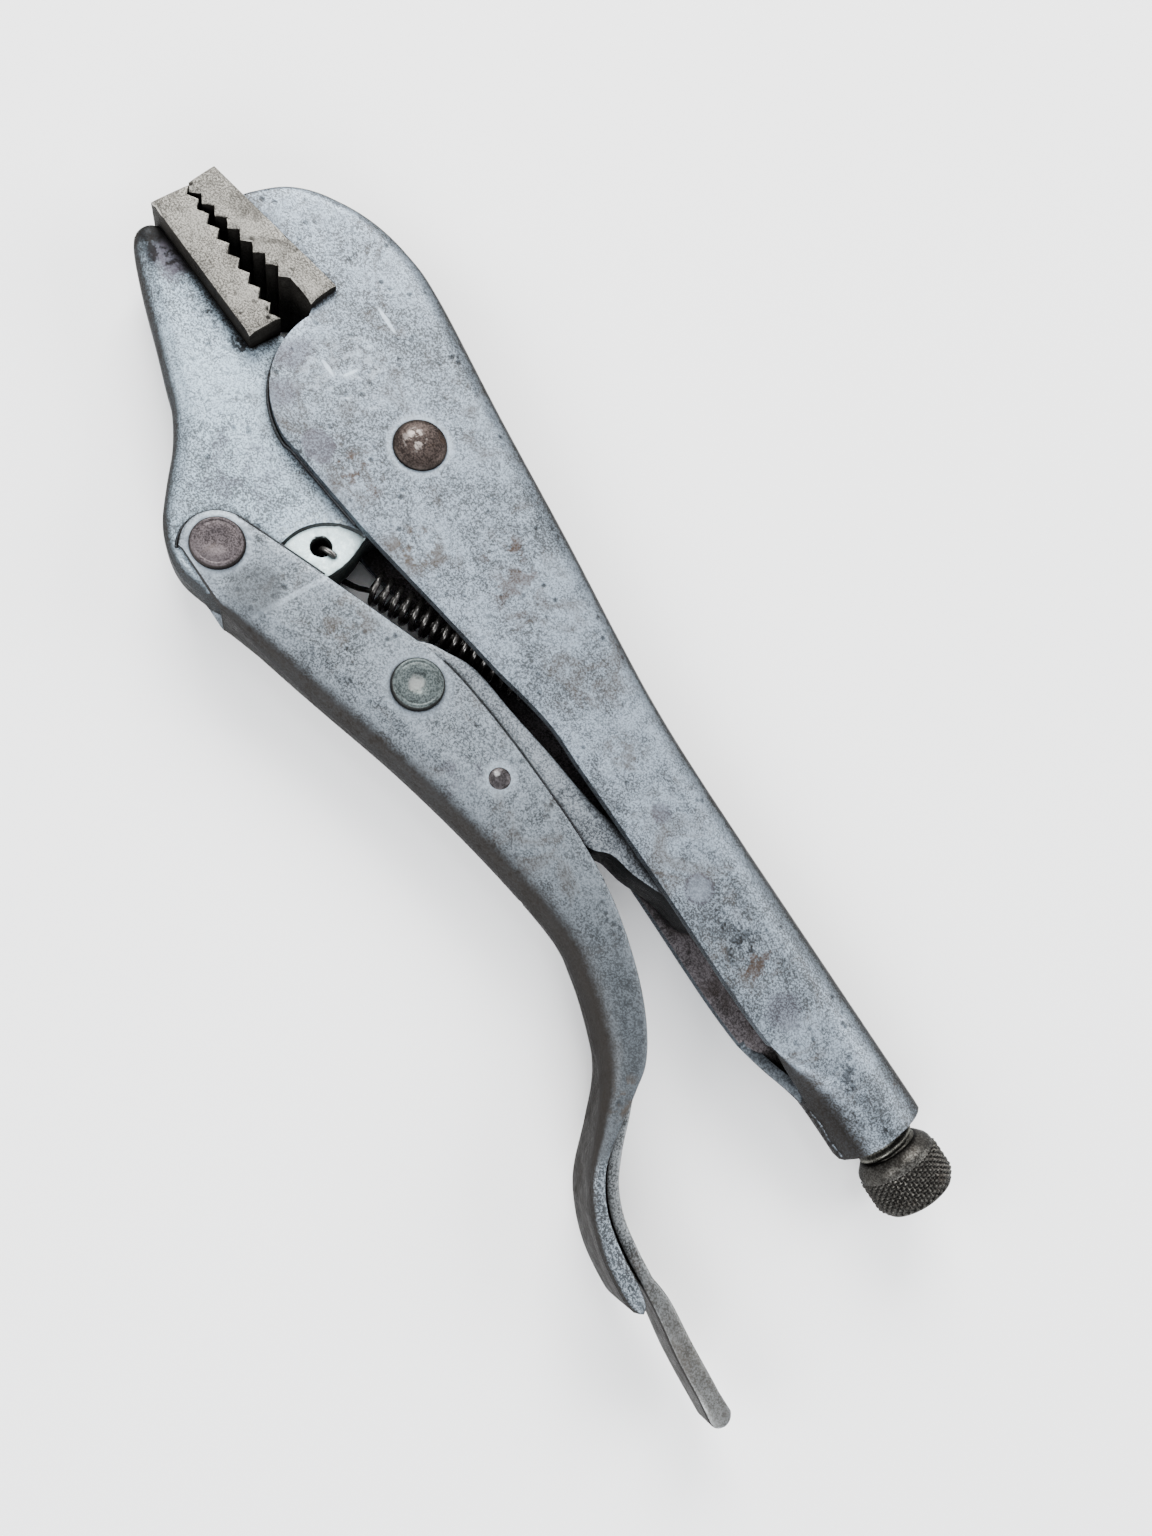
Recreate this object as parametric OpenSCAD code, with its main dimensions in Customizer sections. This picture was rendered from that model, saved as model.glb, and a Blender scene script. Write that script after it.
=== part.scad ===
// Locking pliers with straight toothed jaws, shut and locked, lying on one side.
// Origin: axis of the main jaw rivet, at the level of the surface that the tool lies on.
// +X runs along the adjusting screw towards its knob, +Y towards the upper handle's back, +Z up.

/* [Sheet metal] */
// Thickness of the folded sheet of both handles
sheet_t = 2.4; // [2.2:0.1:2.6]
// Outer width of both handles near the jaws
channel_w = 16.6; // [16.4:0.1:17]
// Outer width of the upper handle where it becomes the screw tube
tube_d = 19; // [18.6:0.1:19.6]
// Radial play of every turning fit
running_play = 0.06; // [0.04:0.01:0.09]

/* [Jaws] */
// Width of the toothed jaw blocks, which is also the thickness of the whole tool
block_w = 20; // [19.5:0.1:20]
// Thickness of the lower jaw plate
plate_t = 11; // [10.4:0.1:11.1]
// Depth of a tooth
tooth_depth = 1.5; // [1:0.1:1.8]
// Teeth on the upper block
upper_teeth = 8; // [6:1:10]
// Teeth on the lower block
lower_teeth = 9; // [7:1:11]

/* [Pivots] */
// Diameter of the main rivet's shank
main_shank_d = 8; // [7:0.5:9]
// Diameter of the shanks of the two handle rivets
handle_shank_d = 7; // [6:0.5:8]
// Diameter of the release lever's pin
lever_pin_d = 5; // [4:0.5:5.5]
// Diameter of the rivet heads
rivet_head_d = 10.8; // [10:0.1:11.5]

/* [Linkage] */
// Width of the folded toggle link
link_w = 11; // [10.4:0.1:11.1]
// Width of the release lever
lever_w = 10.6; // [10:0.1:11]
// Thickness of the release lever's strip
lever_t = 2.6; // [2.4:0.1:3]

/* [Adjusting screw] */
// Outer diameter of the thread
thread_d = 12.4; // [12:0.1:13]
// Diameter of the knurled knob
knob_d = 17.2; // [16.5:0.1:18.5]
// Length of the knob
knob_len = 11.5; // [10:0.5:13]
// Length of bare thread between the tube and the knob
neck_len = 4; // [3:0.5:6]

/* [Spring] */
// Outer diameter of the spring's coil
coil_d = 7.5; // [7:0.1:8]
// Diameter of the spring's wire
wire_d = 1.2; // [1:0.1:1.2]
// Pitch of the coil
coil_pitch = 2.4; // [2:0.1:2.6]

/* [Hidden] */
$fn = 64;

big = 300;                              // longer than the tool, for cuts that run through
mid_z = block_w / 2;                    // middle plane of the tool
head_t = (block_w - channel_w) / 2;     // height of a rivet head above a cheek
inner_w = channel_w - 2 * sheet_t;      // clear width between the cheeks near the jaws
rear_inner_w = tube_d - 2 * sheet_t;    // clear width in the screw's stretch of the upper handle

handle_pivot = [-1.1, -44.3];
link_pivot = [41, -27.2];
lever_pivot = [64.4, -23.9];
nose_centre = [106, -2.5];
nose_r = 5.5;
link_boss_r = 9.8;

screw_y = 3;
tube_start_x = 148;
tube_end_x = 163.5;
knob_start_x = tube_end_x + neck_len;
screw_tip_x = nose_centre[0] + nose_r + 4.2;
retainer_x = screw_tip_x + 3;
retainer_t = 1.6;
retainer_groove_r = thread_d / 2 - 1.2;

spring_hole = [7.5, -27.2];
spring_hole_r = 2.1;
lug_hole = [79.5, 6.9];
coil_front = [17.6, -21.9];
coil_rear = [73.5, 4.3];

// Smooth open curve through the points p
function bend(a, b, c, d, t) =
    0.5 * (2 * b + (c - a) * t + (2 * a - 5 * b + 4 * c - d) * t * t
           + (3 * b - a - 3 * c + d) * t * t * t);
function curve(p, steps = 5) = concat(
    [for (i = [0 : len(p) - 2]) for (s = [0 : steps - 1])
        bend(p[max(i - 1, 0)], p[i], p[i + 1], p[min(i + 2, len(p) - 1)], s / steps)],
    [p[len(p) - 1]]);
// The path moved sideways by d, to the left of its direction
function beside(path, d) =
    [for (i = [0 : len(path) - 1])
        let (a = path[max(i - 1, 0)], b = path[min(i + 1, len(path) - 1)], t = (b - a) / norm(b - a))
        path[i] + d * [-t[1], t[0]]];
function backwards(p) = [for (i = [len(p) - 1 : -1 : 0]) p[i]];
function arc(centre, r, from, to, steps = 12) =
    [for (i = [0 : steps]) let (a = from + (to - from) * i / steps) centre + r * [cos(a), sin(a)]];
// Saw teeth with their tips on the line from a to b, cut to the given depth on its left
function teeth(a, b, count, depth) =
    let (step = (b - a) / count, n = [-step[1], step[0]] / norm(step))
    [for (i = [0 : count - 1]) for (valley = [0, 1])
        a + step * (i + valley / 2) + n * depth * valley];

module slab(points, width) {
    translate([0, 0, mid_z - width / 2]) linear_extrude(width) polygon(points);
}
module cross_cylinder(centre, r, width = big) {
    translate([centre[0], centre[1], mid_z]) cylinder(r = r, h = width, center = true);
}
module along_screw(from, to, r) {
    translate([from, screw_y, mid_z]) rotate([0, 90, 0]) cylinder(r = r, h = to - from);
}
// Everything whose distance from the middle plane stays inside a width that grows along X
module width_taper(front_w, rear_w, from = 60, to = 104) {
    translate([0, big / 2, mid_z]) rotate([90, 0, 0]) linear_extrude(big)
        polygon([[-big, -front_w / 2], [from, -front_w / 2], [to, -rear_w / 2], [big, -rear_w / 2],
                 [big, rear_w / 2], [to, rear_w / 2], [from, front_w / 2], [-big, front_w / 2]]);
}

// Upper handle: a folded channel whose back runs over the head and ends in the screw tube
back_line = curve([[-63.5, -1.4], [-61.5, 8], [-56.5, 15], [-48, 20.4], [-38, 23.2], [-27, 23.5],
                   [1, 20.3], [30, 17.4], [52, 14.8], [70, 13.1], [88, 12.5]]);
cheek_line = curve([[-12, -21.8], [10, -18.9], [30, -15.3], [46, -12.4], [60, -9.6], [72, -9.4],
                    [100, -9.2], [126, -9.2], [142, -7.8], [152, -6.5]]);
module shell_outline(width) {
    slab(concat(back_line,
                [[tube_end_x - 6, screw_y + tube_d / 2], [tube_end_x - 6, screw_y - tube_d / 2]],
                backwards(cheek_line), arc([-13.5, -1.7], 20.4, 270, 187),
                [[-35, -3], [-36.3, 3.6]]), width);
}
module shell_cavity(width) {
    inner_back = beside(back_line, -sheet_t);
    slab(concat(inner_back, [[tube_start_x, screw_y + tube_d / 2 - sheet_t], [tube_start_x, -60],
                             [-34, -60], [-34, 0], [-38, 5.9]]), width);
}
module spring_lug() {
    slab(concat(arc(lug_hole, 3, 180, 360), [lug_hole + [5, 4.6], lug_hole + [-4.6, 4.8]]), 2.5);
}
module upper_handle_shell() {
    color("lightsteelblue") difference() {
        union() {
            difference() {
                intersection() {
                    shell_outline(tube_d);
                    width_taper(channel_w, tube_d);
                }
                intersection() {
                    shell_cavity(rear_inner_w);
                    width_taper(inner_w, rear_inner_w);
                }
            }
            along_screw(tube_start_x, tube_end_x, tube_d / 2);
            spring_lug();
        }
        along_screw(tube_start_x - 1, tube_end_x + 1, thread_d / 2 + running_play);
        cross_cylinder([0, 0], main_shank_d / 2);
        cross_cylinder(lug_hole, 1.6, 4);
    }
}

// The two toothed blocks
module upper_jaw_block() {
    color("rosybrown") slab(concat(
        backwards(teeth([-41.6, -3.6], [-68, -10.2], upper_teeth, -tooth_depth)),
        [[-35, -3], [-36.3, 3.6], [-69.2, -3.8], [-68, -10.2]]), block_w);
}
module lower_jaw_block() {
    color("rosybrown") slab(concat(
        teeth([-67.5, -11.5], [-35, -9.9], lower_teeth, -tooth_depth),
        [[-35, -9.9], [-34.3, -17.2], [-67.1, -18.9]]), block_w);
}

// Lower jaw: a plate between the cheeks of both handles, with a hole for the spring
module lower_jaw_plate() {
    recess_depth = 0.8;
    outer_edge = curve([[-66.4, -18.9], [-67.4, -21.2], [-66.6, -23.9], [-63.5, -25.9], [-56, -28.7],
                        [-45, -32.2], [-37, -34.9], [-31, -36.9], [-24.5, -40.6], [-18, -45.8],
                        [-12, -50.1], [-6.5, -52.3], [-1, -52.7], [4.5, -51]], 4);
    web_end = curve([[9, -47], [11, -40], [13, -33], [13.2, -27], [12, -22.5], [10, -17],
                     [11.2, -6]], 4);
    color("lightsteelblue") difference() {
        slab(concat(outer_edge, web_end,
                    arc([0, 0], 12, -25, 160), [[-22, -6], [-34.4, -10.5], [-34.3, -17.2]]), plate_t);
        cross_cylinder([0, 0], main_shank_d / 2 + running_play);
        cross_cylinder(handle_pivot, handle_shank_d / 2 + running_play);
        cross_cylinder(spring_hole, spring_hole_r);
        for (side = [-1, 1])
            translate([14, -29.2, mid_z + side * plate_t / 2])
                cylinder(r = 11.3, h = 2 * recess_depth, center = true);
    }
}

// Lower handle: a folded channel that thins to a shallow trough at its tail
spine_line = curve([[10, -49.9], [31, -44.8], [53, -38.5], [75, -33.7], [95, -30.9], [104, -31.9],
                    [113, -34.5], [121, -38], [127.5, -43.7], [134, -50.5], [140, -54.3],
                    [147, -56.8], [158.5, -57.8]]);
rim_line = curve([[-3.8, -37.9], [13.2, -30.5], [32, -22.8], [40.4, -19.9], [52, -18.2], [66, -17.2],
                  [83, -16.9], [96, -18.3], [108, -21.6], [117, -25.5], [123.6, -30.1], [127, -35],
                  [132.2, -43.8], [135.6, -48], [141, -51.3], [147.5, -53], [158.5, -54.1]]);
module lower_handle_channel() {
    floor_line = beside(spine_line, sheet_t);
    color("silver") difference() {
        slab(concat(arc(handle_pivot, 7, 112, 240), spine_line, backwards(rim_line)), channel_w);
        slab(concat([[10, -70]], floor_line,
                    [[180, floor_line[len(floor_line) - 1][1]], [180, 20], [-20, 20], [-20, -70]]), inner_w);
        cross_cylinder(handle_pivot, handle_shank_d / 2);
        cross_cylinder(link_pivot, handle_shank_d / 2);
        cross_cylinder(lever_pivot, lever_pin_d / 2);
    }
}

// Rivets: a shank with a formed head at each end
module rivet(centre, head_d, shank_d) {
    flat_r = head_d * 0.34;
    half_profile = [[0, 0], [flat_r, 0], [head_d * 0.44, head_t * 0.3], [head_d / 2, head_t],
                    [shank_d / 2, head_t]];
    other_half = [for (p = backwards(half_profile)) [p[0], block_w - p[1]]];
    translate([centre[0], centre[1], 0]) rotate_extrude() polygon(concat(half_profile, other_half));
}
module main_pivot_rivet() {
    color("dimgray") rivet([0, 0], rivet_head_d, main_shank_d);
}
module jaw_handle_rivet() {
    color("dimgray") rivet(handle_pivot, rivet_head_d, handle_shank_d);
}
module link_rivet() {
    color("slategray") rivet(link_pivot, rivet_head_d - 0.4, handle_shank_d);
}
module release_lever_pin() {
    color("dimgray") cross_cylinder(lever_pivot, lever_pin_d / 2, channel_w + 0.6);
}

// Toggle link: folded from sheet, two cheeks joined by a web along the upper edge
module toggle_link() {
    slot_w = link_w - 5;
    upper_edge = curve([[37.7, -17.9], [41.5, -15.7], [46, -14.5], [54, -13.6], [66, -11.8],
                        [76, -10.6], [84, -8.8], [91, -5.4], [97, -0.4], [102, 1.6]]);
    lower_edge = curve([[106, -8], [101, -8.8], [94, -11.6], [88.5, -13], [84.5, -16.2], [76, -17.4],
                        [65, -17.8], [57, -20.4], [51, -26]]);
    color("lightsteelblue") difference() {
        slab(concat(arc(link_pivot, link_boss_r, 350, 120), upper_edge,
                    arc(nose_centre, nose_r, 100, -80), lower_edge), link_w);
        slab(concat([[20, -17], [47, -17]],
                    [for (p = beside(upper_edge, -2.4)) if (p[0] > 48 && p[0] < 78) p],
                    [[78, -50], [20, -50]]), slot_w);
        cross_cylinder(link_pivot, handle_shank_d / 2 + running_play);
    }
}

// Release lever: a strip inside the lower handle, with a hump under the toggle link and a thicker tail
module release_lever() {
    front_strip = curve([[78, -23.8], [94, -24.2], [108, -26.8], [118, -30.3], [124.5, -34],
                         [129.3, -38.6], [133.6, -43.4], [138.5, -47.7], [144.5, -50.4],
                         [151.5, -51.6]]);
    tail_outside = curve([[156, -53.2], [162.5, -53.9], [170, -55.1], [179, -55.9]]);
    tail_inside = curve([[156, -50.7], [161.3, -50.3], [169.8, -51.2], [179.5, -51.9]]);
    color("gray") difference() {
        slab(concat(arc(lever_pivot, 4.3, 110, 270), beside(front_strip, -lever_t / 2), tail_outside,
                    arc([183.2, -54], 2.3, -100, 70), backwards(tail_inside),
                    backwards([for (p = beside(front_strip, lever_t / 2)) if (p[0] > 84) p]),
                    [[79, -20.8], [76, -18.9], [73, -18.7], [69, -19.5]]), lever_w);
        cross_cylinder(lever_pivot, lever_pin_d / 2 + running_play);
    }
}

// Tension spring: one wire, hooked through the lower jaw's plate and through the lug
module swept_wire(path, r, sides = 5) {
    count = len(path);
    along = [for (i = [0 : count - 1])
        let (d = path[min(i + 1, count - 1)] - path[max(i - 1, 0)]) d / norm(d)];
    start = cross(along[0], [0.3, 1, 0.1]);
    across = [for (i = 0, n = start / norm(start); i < count;
                   i = i + 1, d = i < count ? n - (n * along[i]) * along[i] : n, n = d / norm(d)) n];
    rings = [for (i = [0 : count - 1]) for (k = [0 : sides - 1])
        let (a = 360 * k / sides) path[i] + r * (cos(a) * across[i] + sin(a) * cross(along[i], across[i]))];
    walls = [for (i = [0 : count - 2]) for (k = [0 : sides - 1])
        let (a = i * sides + k, b = i * sides + (k + 1) % sides)
        each [[a, a + sides, b + sides], [a, b + sides, b]]];
    polyhedron(rings, concat(walls, [[for (k = [0 : sides - 1]) k]],
                             [[for (k = [sides - 1 : -1 : 0]) (count - 1) * sides + k]]));
}
module tension_spring() {
    axis = (coil_rear - coil_front) / norm(coil_rear - coil_front);
    coil_len = norm(coil_rear - coil_front);
    wind_r = (coil_d - wire_d) / 2;
    turns = round(coil_len / coil_pitch) + 0.5;
    steps_per_turn = 8;
    hook_z = mid_z - plate_t / 2 + 0.1;
    coil = [for (i = [0 : turns * steps_per_turn])
        let (k = i / (turns * steps_per_turn), a = -90 + 360 * turns * k,
             p = coil_front + axis * coil_len * k, side = wind_r * cos(a))
        [p[0] - axis[1] * side, p[1] + axis[0] * side, mid_z + wind_r * sin(a)]];
    front_hook = [[8.9, -27.8, mid_z + 5.4], [8, -27.4, mid_z + 5], [7.5, -27.2, mid_z + 3.4],
                  [7.5, -27.2, mid_z - 3.6], [8.1, -26.9, hook_z + 0.4], [9.3, -26.3, hook_z],
                  [12.6, -24.8, hook_z], [15.2, -23.5, hook_z + 0.7]];
    rear_hook = [[75, 4.9, mid_z + 2.7], [77.3, 6, mid_z + 2.2], [79, 6.7, mid_z + 2],
                 [79.5, 6.9, mid_z + 1], [79.5, 6.9, mid_z - 1.2], [79, 6.7, mid_z - 2.2]];
    color("black") swept_wire(concat(front_hook, coil, rear_hook), wire_d / 2);
}

// Adjusting screw with its knob, and the ring that stops it winding right out
module adjusting_screw() {
    color("dimgray") difference() {
        along_screw(screw_tip_x, knob_start_x + knob_len - 2, thread_d / 2);
        difference() {
            along_screw(retainer_x - 0.1, retainer_x + retainer_t + 0.1, thread_d);
            along_screw(retainer_x - 1, retainer_x + retainer_t + 1, retainer_groove_r);
        }
    }
}
module screw_retainer() {
    color("gray") difference() {
        along_screw(retainer_x, retainer_x + retainer_t, rear_inner_w / 2 - 0.3);
        along_screw(retainer_x - 1, retainer_x + retainer_t + 1, retainer_groove_r + running_play);
    }
}
module knurled_knob() {
    r = knob_d / 2;
    color("dimgray") translate([knob_start_x, screw_y, mid_z]) rotate([0, 90, 0]) rotate_extrude()
        polygon([[thread_d / 2, 0], [r - 1.6, 0], [r - 0.5, 1.6], [r - 0.5, 3.2], [r, 3.8],
                 [r, knob_len - 2.2], [r - 1.5, knob_len - 0.6], [0, knob_len], [0, knob_len - 2],
                 [thread_d / 2, knob_len - 2]]);
}

upper_handle_shell();
upper_jaw_block();
main_pivot_rivet();
lower_jaw_plate();
lower_jaw_block();
lower_handle_channel();
jaw_handle_rivet();
link_rivet();
release_lever_pin();
toggle_link();
release_lever();
tension_spring();
screw_retainer();
adjusting_screw();
knurled_knob();
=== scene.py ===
import math

import bmesh
import bpy
import numpy as np
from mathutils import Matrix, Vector
from mathutils.geometry import delaunay_2d_cdt


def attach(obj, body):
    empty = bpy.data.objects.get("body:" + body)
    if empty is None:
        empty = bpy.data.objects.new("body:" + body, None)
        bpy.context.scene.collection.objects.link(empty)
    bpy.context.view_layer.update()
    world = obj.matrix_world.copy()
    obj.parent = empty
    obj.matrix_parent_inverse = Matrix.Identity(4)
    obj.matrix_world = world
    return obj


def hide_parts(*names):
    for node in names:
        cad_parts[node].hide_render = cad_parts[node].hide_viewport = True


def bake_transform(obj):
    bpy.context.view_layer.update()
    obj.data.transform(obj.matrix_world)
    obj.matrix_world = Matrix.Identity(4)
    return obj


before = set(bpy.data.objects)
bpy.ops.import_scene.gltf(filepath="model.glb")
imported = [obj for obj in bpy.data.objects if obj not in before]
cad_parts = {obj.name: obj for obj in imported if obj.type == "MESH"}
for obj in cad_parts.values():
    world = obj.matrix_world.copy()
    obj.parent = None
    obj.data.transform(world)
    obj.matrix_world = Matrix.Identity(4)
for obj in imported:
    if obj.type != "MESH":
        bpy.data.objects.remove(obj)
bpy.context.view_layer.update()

MM = 0.001
MID = 10.0                      # middle plane of the tool; this and every size below in mm
SHEET = 2.4                     # thickness of the handles' sheet
CHEEK_HALF, TUBE_HALF = 8.3, 9.5    # from the middle plane to the outside of a cheek, and of the screw's tube
PLATE_HALF, BLOCK_HALF = 5.5, 10    # half the thickness of the jaw plate and link, and of the jaw blocks
SCREW_Y, TUBE_END = 3.0, 163.5
LUG_HOLE, LUG_HOLE_R = (79.5, 6.9), 1.6
HOOK_HOLE, HOOK_HOLE_R = (7.5, -27.2), 2.1
# the pivots: main rivet, jaw to lower handle, lower handle to link, release lever
P0, P1, P2, P4 = (0, 0), (-1.1, -44.3), (41, -27.2), (64.4, -23.9)


# ---------------------------------------------------------------- curves and outlines, in mm
def curve(points, steps=8):
    """A smooth open curve through the points."""
    p = [Vector(q) for q in points]
    out = []
    for i in range(len(p) - 1):
        a, b, c, d = p[max(i - 1, 0)], p[i], p[i + 1], p[min(i + 2, len(p) - 1)]
        for s in range(steps):
            t = s / steps
            out.append(0.5 * (2 * b + (c - a) * t + (2 * a - 5 * b + 4 * c - d) * t * t
                              + (3 * b - a - 3 * c + d) * t ** 3))
    return [tuple(q) for q in out + [p[-1]]]


def arc(centre, r, start, end, steps=24):
    return [(centre[0] + r * math.cos(math.radians(start + (end - start) * i / steps)),
             centre[1] + r * math.sin(math.radians(start + (end - start) * i / steps)))
            for i in range(steps + 1)]


def teeth(a, b, count, depth):
    """A saw-toothed line from a to b, with its points to the left if depth is positive."""
    a, b = np.array(a, float), np.array(b, float)
    step = (b - a) / count
    n = np.array([-step[1], step[0]]) / np.linalg.norm(step)
    return [tuple(a + step * (i + v / 2) + n * depth * v) for i in range(count) for v in (0, 1)]


def smooth(x, lo, hi):
    """0 up to lo and 1 from hi, with a soft step between."""
    t = np.clip((np.asarray(x, float) - lo) / (hi - lo), 0, 1)
    return t * t * (3 - 2 * t)


def nearest(points, line, values):
    """Distance from each point to an open line, and the line's value there."""
    p, a = np.asarray(points, float), np.asarray(line, float)
    s, e = a[:-1], a[1:] - a[:-1]
    v = np.asarray(values, float)
    t = np.clip(((p[:, None] - s) * e).sum(2) / np.maximum((e * e).sum(1), 1e-12), 0, 1)
    d = np.linalg.norm(p[:, None] - (s + t[..., None] * e), axis=2)
    k = d.argmin(1)
    row = np.arange(len(p))
    return d[row, k], v[k] + t[row, k] * (v[k + 1] - v[k])


def tangents(line):
    t = np.gradient(np.asarray(line, float), axis=0)
    return t / np.maximum(np.linalg.norm(t, axis=1)[:, None], 1e-9)


def resample(line, step):
    """The line's points with more between them, no further than step apart."""
    a = np.asarray(line, float)
    out = [a[0]]
    for p, q in zip(a[:-1], a[1:]):
        n = max(1, int(np.ceil(np.linalg.norm(q - p) / step)))
        out += [p + (q - p) * i / n for i in range(1, n + 1)]
    return np.array(out)


def inside(points, loop):
    """Which points lie inside a closed loop."""
    p, a = np.asarray(points, float), np.asarray(loop, float)
    x, y = p[:, :1], p[:, 1:]
    x0, y0 = a[:, 0], a[:, 1]
    x1, y1 = np.roll(x0, -1), np.roll(y0, -1)
    hit = (y0 > y) != (y1 > y)
    cross = (x1 - x0) * (y - y0) / np.where(y1 == y0, 1e-9, y1 - y0) + x0
    return ((hit & (x < cross)).sum(1) % 2).astype(bool)


# ---------------------------------------------------------------- meshes
def add_object(name, verts, faces, angle=38):
    """A smooth shaded mesh, in metres, with edges sharper than the angle kept sharp."""
    me = bpy.data.meshes.new(name)
    me.from_pydata([tuple(float(c) for c in v) for v in verts], [], faces)
    bm = bmesh.new()
    bm.from_mesh(me)
    bmesh.ops.remove_doubles(bm, verts=bm.verts, dist=1e-7)
    bmesh.ops.dissolve_degenerate(bm, edges=bm.edges, dist=1e-7)
    loose = [v for v in bm.verts if not v.link_faces]
    bmesh.ops.delete(bm, geom=loose, context="VERTS")
    bmesh.ops.recalc_face_normals(bm, faces=bm.faces)
    bm.to_mesh(me)
    bm.free()
    me.polygons.foreach_set("use_smooth", [True] * len(me.polygons))
    me.set_sharp_from_angle(angle=math.radians(angle))
    ob = bpy.data.objects.new(name, me)
    bpy.context.scene.collection.objects.link(ob)
    return ob


def profile(d, r):
    """How far a surface falls short of its full half width at distance d from an edge rounded by r."""
    r = np.maximum(r, 1e-6)
    k = np.clip(r - d, 0, None)
    return r - np.sqrt(np.maximum(r * r - k * k, 0))


def thin_out(points, cell=0.35):
    """The points in order of x, no more than one to a cell of a square grid."""
    order = np.lexsort((np.round(points[:, 1], 1), np.round(points[:, 0], 1)))
    kept = {}
    for p in points[order]:
        kept.setdefault((round(p[0] / cell), round(p[1] / cell)), p)
    return np.array(list(kept.values()))


def rounding_rows(line, rounds, loop):
    """Rows of points along a side, where its rounded edge turns."""
    t = tangents(line)
    n = np.column_stack([-t[:, 1], t[:, 0]])
    middle = len(line) // 2
    if not inside(line[middle][None] + n[middle] * 0.05, loop)[0]:
        n = -n
    ring = np.vstack([loop, loop[:1]])
    rows = []
    for turn in (18, 36, 54, 72, 90) if rounds.max() > 1.5 else (45, 90):
        off = rounds * (1 - math.cos(math.radians(turn)))
        keep = off > 0.05
        if keep.any():
            q, o = (line + n * off[:, None])[keep], off[keep]
            d, _ = nearest(q, ring, np.zeros(len(ring)))
            rows.append(q[(d > o * 0.93) & inside(q, loop)])
    return rows


def mesh_points(lines, rounds, loops, dent, spacing):
    """Points inside the outline: rows along rounded edges, a grid, and a rim round each hole."""
    loop = loops[0]
    ring = np.vstack([loop, loop[:1]])
    extra = [row for pts, rr in zip(lines, rounds) for row in rounding_rows(pts, rr, loop)]
    lo, hi = loop.min(0), loop.max(0)
    gx, gy = np.meshgrid(np.arange(lo[0], hi[0], spacing), np.arange(lo[1], hi[1], spacing * 0.87))
    gx = gx + (np.arange(gx.shape[0])[:, None] % 2) * spacing / 2
    grid = np.column_stack([gx.ravel(), gy.ravel()])
    grid = grid[inside(grid, loop)]
    grid = grid[nearest(grid, ring, np.zeros(len(ring)))[0] > 0.8]
    if dent:
        extra.append(dent.points[inside(dent.points, loop)])
    cloud = np.vstack(extra + [grid])
    for q in loops[1:]:
        cloud = cloud[~inside(cloud, q)]
        line = np.vstack([q, q[:1]])
        cloud = cloud[nearest(cloud, line, np.zeros(len(line)))[0] > 0.12]
        c = q.mean(0)
        rim_rows = [c + (q - c) * (1 + s / np.linalg.norm(q[0] - c)) for s in (0.12, 0.3)]
        cloud = np.vstack([cloud] + rim_rows)
    return thin_out(cloud)


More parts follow.
